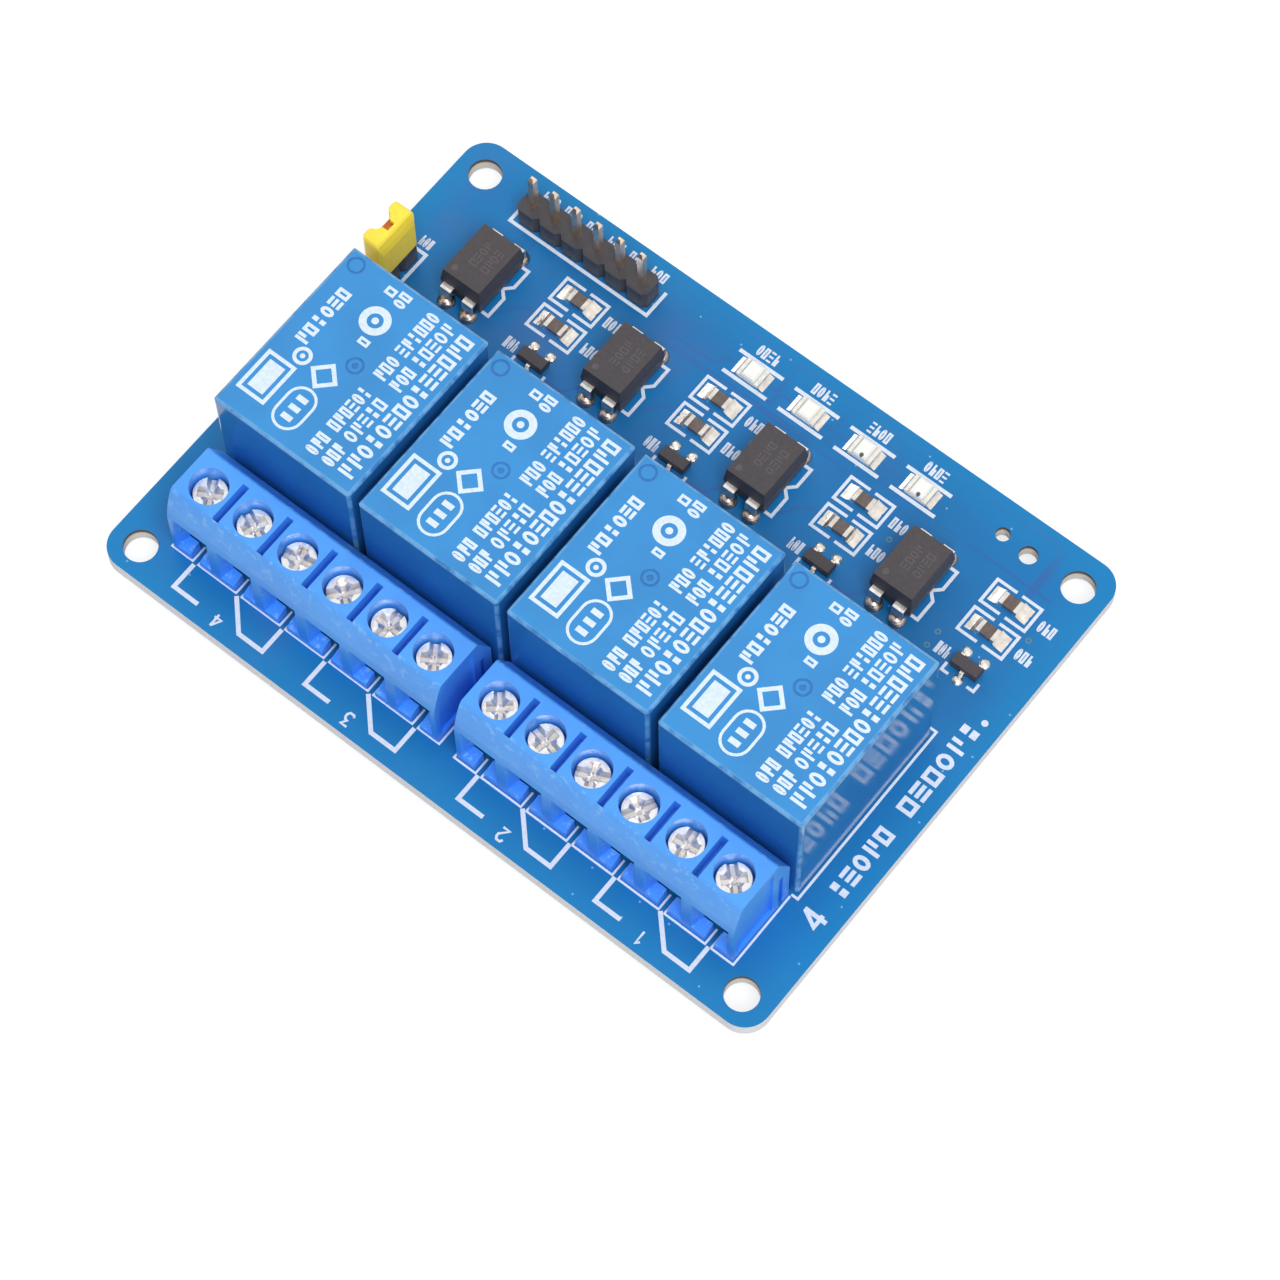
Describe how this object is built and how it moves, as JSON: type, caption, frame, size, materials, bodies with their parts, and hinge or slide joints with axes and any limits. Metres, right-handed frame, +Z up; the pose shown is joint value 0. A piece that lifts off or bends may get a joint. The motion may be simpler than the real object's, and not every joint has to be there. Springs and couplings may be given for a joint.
{
  "type": "relay module board",
  "caption": "Blue circuit board with a row of cube power relays, screw terminal blocks along one edge, optocouplers, indicator lights, a pin header and a yellow jumper.",
  "frame": {"origin": "centre of the four mounting holes, on the underside of the board", "axes": "+X along the terminal blocks, -Y side carries the terminals, +Y side the control header, +Z up out of the board's component side"},
  "size_m": [0.074, 0.0545, 0.0191],
  "materials": {
    "board": "blue solder mask over copper, with white print",
    "solder": "bright tin solder",
    "relay_case": "smooth blue moulded cover",
    "relay_base": "dark blue moulded base",
    "coil": "enamelled copper winding on its bobbin",
    "iron": "plated iron",
    "tinned": "tinned copper alloy",
    "terminal_block": "satin light blue moulding",
    "screw": "zinc plated steel",
    "dark_epoxy": "dark moulded epoxy",
    "chip_body": "dark glazed chip on white ceramic",
    "led_base": "white carrier",
    "led_lens": "clear to milky lens",
    "header_plastic": "black moulding",
    "pin": "thin gold over brass",
    "jumper_yellow": "yellow moulding",
    "clip_bronze": "spring bronze"
  },
  "bodies": {
    "root": {"circuit_board": "board", "solder_joints": "solder", "relay_case_1": "relay_case", "relay_case_2": "relay_case", "relay_case_3": "relay_case", "relay_case_4": "relay_case", "relay_base_1": "relay_base", "relay_base_2": "relay_base", "relay_base_3": "relay_base", "relay_base_4": "relay_base", "relay_coil_1": "coil", "relay_coil_2": "coil", "relay_coil_3": "coil", "relay_coil_4": "coil", "relay_yoke_1": "iron", "relay_yoke_2": "iron", "relay_yoke_3": "iron", "relay_yoke_4": "iron", "relay_armature_1": "iron", "relay_armature_2": "iron", "relay_armature_3": "iron", "relay_armature_4": "iron", "relay_leads_1": "tinned", "relay_leads_2": "tinned", "relay_leads_3": "tinned", "relay_leads_4": "tinned", "terminal_housing_1": "terminal_block", "terminal_housing_2": "terminal_block", "terminal_screws_1": "screw", "terminal_screws_2": "screw", "wire_clamps_1": "screw", "wire_clamps_2": "screw", "terminal_tails_1": "tinned", "terminal_tails_2": "tinned", "optocoupler_1": "dark_epoxy", "optocoupler_2": "dark_epoxy", "optocoupler_3": "dark_epoxy", "optocoupler_4": "dark_epoxy", "opto_leads_1": "tinned", "opto_leads_2": "tinned", "opto_leads_3": "tinned", "opto_leads_4": "tinned", "transistors": "dark_epoxy", "transistor_leads": "tinned", "resistors": "chip_body", "resistor_ends": "solder", "surface_solder": "solder", "led_bases": "led_base", "led_lenses": "led_lens", "control_header": "header_plastic", "control_header_pins": "pin", "jumper_header": "header_plastic", "jumper_header_pins": "pin", "jumper_cap": "jumper_yellow", "jumper_clip": "clip_bronze"}
  },
  "joints": []
}
